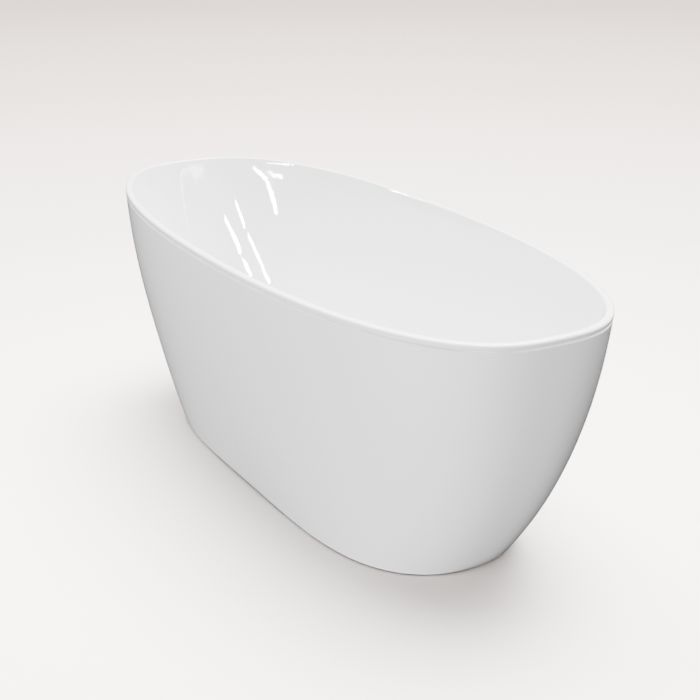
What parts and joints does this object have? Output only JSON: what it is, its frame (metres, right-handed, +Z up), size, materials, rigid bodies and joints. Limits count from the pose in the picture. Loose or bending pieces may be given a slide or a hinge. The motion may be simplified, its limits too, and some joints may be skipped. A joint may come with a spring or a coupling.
{
  "type": "freestanding bathtub",
  "caption": "Freestanding double-ended oval bathtub: thin-rimmed acrylic basin and tapering skirt on a steel frame with levelling feet, press waste and overflow.",
  "frame": {"origin": "on the floor under the middle of the tub", "axes": "+X along the tub's length, +Y across it away from the overflow side, +Z up"},
  "size_m": [1.7, 0.7, 0.6],
  "materials": {
    "acrylic": "high gloss, faint waviness",
    "glass_fibre": "rough chopped-strand laminate",
    "adhesive": "matt bead",
    "plywood": "raw plywood with visible plies",
    "galvanised_steel": "galvanised, faint spangle",
    "zinc_steel": "bright zinc plate",
    "black_plastic": "moulded, fine texture",
    "chrome": "mirror polished",
    "rubber": "matt",
    "brass": "machined",
    "white_plastic": "moulded, satin",
    "grey_hose": "flexible corrugated hose"
  },
  "bodies": {
    "tub": {"base_board": "plywood", "basin_laminate": "glass_fibre", "basin_shell": "acrylic", "cross_rail_left": "galvanised_steel", "cross_rail_right": "galvanised_steel", "foot_back_left_lock_nut": "zinc_steel", "foot_back_right_lock_nut": "zinc_steel", "foot_front_left_lock_nut": "zinc_steel", "foot_front_right_lock_nut": "zinc_steel", "frame_screw_back_left": "zinc_steel", "frame_screw_back_right": "zinc_steel", "frame_screw_front_left": "zinc_steel", "frame_screw_front_right": "zinc_steel", "overflow_body": "white_plastic", "overflow_cover": "chrome", "overflow_gasket_back": "rubber", "overflow_gasket_front": "rubber", "overflow_hose": "grey_hose", "overflow_hose_nut": "white_plastic", "overflow_ring": "chrome", "plug_cartridge": "brass", "plug_spring": "zinc_steel", "rail_back": "galvanised_steel", "rail_front": "galvanised_steel", "rim_bond_bead": "adhesive", "skirt_laminate": "glass_fibre", "skirt_shell": "acrylic", "tailpiece": "white_plastic", "tailpiece_nut": "white_plastic", "waste_body": "white_plastic", "waste_flange": "chrome", "waste_gasket_top": "rubber", "waste_gasket_under": "rubber", "waste_hose_nut": "white_plastic", "waste_nut": "brass"},
    "plug": {"plug_cap": "chrome", "plug_seal": "rubber", "plug_stem": "brass"},
    "foot_front_left_pad_body": {"foot_front_left_pad": "black_plastic"},
    "foot_front_left_stud_body": {"foot_front_left_stud": "zinc_steel"},
    "foot_back_left_pad_body": {"foot_back_left_pad": "black_plastic"},
    "foot_back_left_stud_body": {"foot_back_left_stud": "zinc_steel"},
    "foot_front_right_pad_body": {"foot_front_right_pad": "black_plastic"},
    "foot_front_right_stud_body": {"foot_front_right_stud": "zinc_steel"},
    "foot_back_right_pad_body": {"foot_back_right_pad": "black_plastic"},
    "foot_back_right_stud_body": {"foot_back_right_stud": "zinc_steel"}
  },
  "joints": [
    {"name": "plug_press", "type": "slide", "parent": "tub", "child": "plug", "axis": [0, 0, 1], "range_m": [-0.009, 0], "stiffness_N_per_m": 600, "springref_m": 0.004, "deforming": ["plug_spring"]},
    {"name": "foot_front_left_height", "type": "slide", "parent": "tub", "child": "foot_front_left_pad_body", "axis": [0, 0, 1], "range_m": [-0.02, 0.003]},
    {"name": "foot_front_left_turn", "type": "hinge", "parent": "foot_front_left_pad_body", "child": "foot_front_left_stud_body", "pos_m": [-0.49, -0.095, 0], "axis": [0, 0, 1], "range_deg": [-4800, 720]},
    {"name": "foot_back_left_height", "type": "slide", "parent": "tub", "child": "foot_back_left_pad_body", "axis": [0, 0, 1], "range_m": [-0.02, 0.003]},
    {"name": "foot_back_left_turn", "type": "hinge", "parent": "foot_back_left_pad_body", "child": "foot_back_left_stud_body", "pos_m": [-0.49, 0.095, 0], "axis": [0, 0, 1], "range_deg": [-4800, 720]},
    {"name": "foot_front_right_height", "type": "slide", "parent": "tub", "child": "foot_front_right_pad_body", "axis": [0, 0, 1], "range_m": [-0.02, 0.003]},
    {"name": "foot_front_right_turn", "type": "hinge", "parent": "foot_front_right_pad_body", "child": "foot_front_right_stud_body", "pos_m": [0.49, -0.095, 0], "axis": [0, 0, 1], "range_deg": [-4800, 720]},
    {"name": "foot_back_right_height", "type": "slide", "parent": "tub", "child": "foot_back_right_pad_body", "axis": [0, 0, 1], "range_m": [-0.02, 0.003]},
    {"name": "foot_back_right_turn", "type": "hinge", "parent": "foot_back_right_pad_body", "child": "foot_back_right_stud_body", "pos_m": [0.49, 0.095, 0], "axis": [0, 0, 1], "range_deg": [-4800, 720]}
  ],
  "couplings": [
    {"joint": "foot_front_left_turn", "follows": "foot_front_left_height", "rad_per_m": 4188.8},
    {"joint": "foot_back_left_turn", "follows": "foot_back_left_height", "rad_per_m": 4188.8},
    {"joint": "foot_front_right_turn", "follows": "foot_front_right_height", "rad_per_m": 4188.8},
    {"joint": "foot_back_right_turn", "follows": "foot_back_right_height", "rad_per_m": 4188.8}
  ]
}
